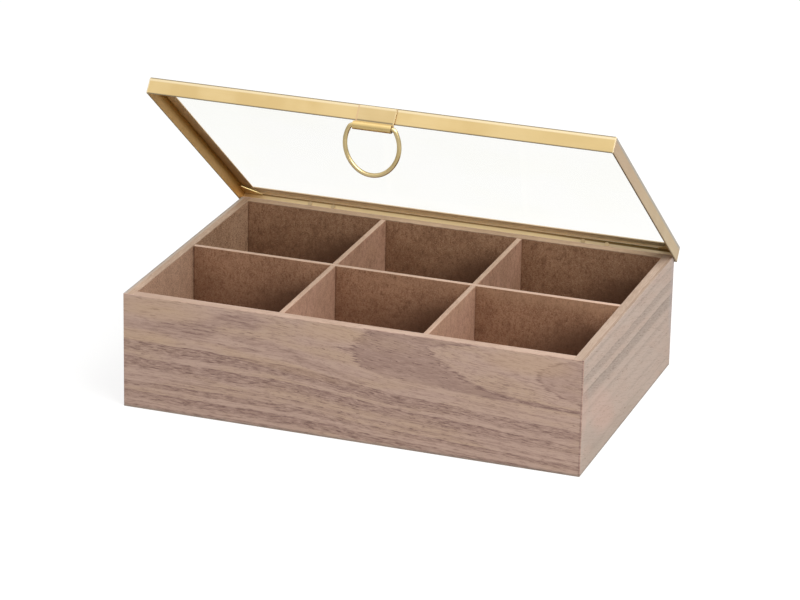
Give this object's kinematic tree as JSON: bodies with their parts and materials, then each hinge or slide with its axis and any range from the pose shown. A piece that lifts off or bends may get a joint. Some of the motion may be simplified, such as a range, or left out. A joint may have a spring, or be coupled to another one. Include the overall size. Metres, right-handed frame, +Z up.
{
  "type": "tea bag organizer box",
  "caption": "Low rectangular veneered box with a half-lapped divider grid and a hinged glass lid in a gold metal frame, lifted by a D-shaped pull ring.",
  "frame": {"origin": "middle of the underside of the box, on the surface that it stands on", "axes": "+X to the right as seen from the front, +Y to the back where the hinges are, +Z up; the front with the pull ring faces -Y"},
  "size_m": [0.242, 0.1668, 0.1622],
  "materials": {
    "walnut_veneer": "pale grey-brown walnut veneer, horizontal grain, matt lacquer",
    "fibreboard": "mottled brown foil on fibreboard, matt",
    "edging": "pale tan edge strip, matt",
    "gold_metal": "satin pale gold, rolled sheet and drawn wire",
    "clear_glass": "clear float glass with ground edges",
    "fastener_steel": "plated, slightly dull"
  },
  "bodies": {
    "box": {"front_board": "fibreboard", "rear_board": "fibreboard", "left_board": "fibreboard", "right_board": "fibreboard", "base_panel": "fibreboard", "front_veneer": "walnut_veneer", "rear_veneer": "walnut_veneer", "left_veneer": "walnut_veneer", "right_veneer": "walnut_veneer", "front_edging": "edging", "rear_edging": "edging", "left_edging": "edging", "right_edging": "edging", "long_divider": "fibreboard", "left_cross_divider": "fibreboard", "right_cross_divider": "fibreboard", "left_fixed_leaf": "gold_metal", "right_fixed_leaf": "gold_metal", "hinge_screws": "fastener_steel", "hinge_pins": "fastener_steel"},
    "lid": {"front_rail": "gold_metal", "rear_rail": "gold_metal", "left_rail": "gold_metal", "right_rail": "gold_metal", "glass_pane": "clear_glass", "corner_tabs": "gold_metal", "left_moving_leaf": "gold_metal", "right_moving_leaf": "gold_metal", "hinge_rivets": "gold_metal", "handle_bracket": "gold_metal"},
    "pull_ring": {"pull_ring": "gold_metal"}
  },
  "joints": [
    {"name": "lid_hinge", "type": "hinge", "parent": "box", "child": "lid", "pos_m": [0, 0.0829, 0.0555], "axis": [-1, 0, 0], "range_deg": [-37.5, 60.5]},
    {"name": "ring_swing", "type": "hinge", "parent": "lid", "child": "pull_ring", "pos_m": [0, -0.0512, 0.15424], "axis": [-1, 0, 0], "range_deg": [-66.55, 41.25]}
  ],
  "couplings": [
    {"joint": "ring_swing", "follows": "lid_hinge", "ratio": -1.1}
  ]
}
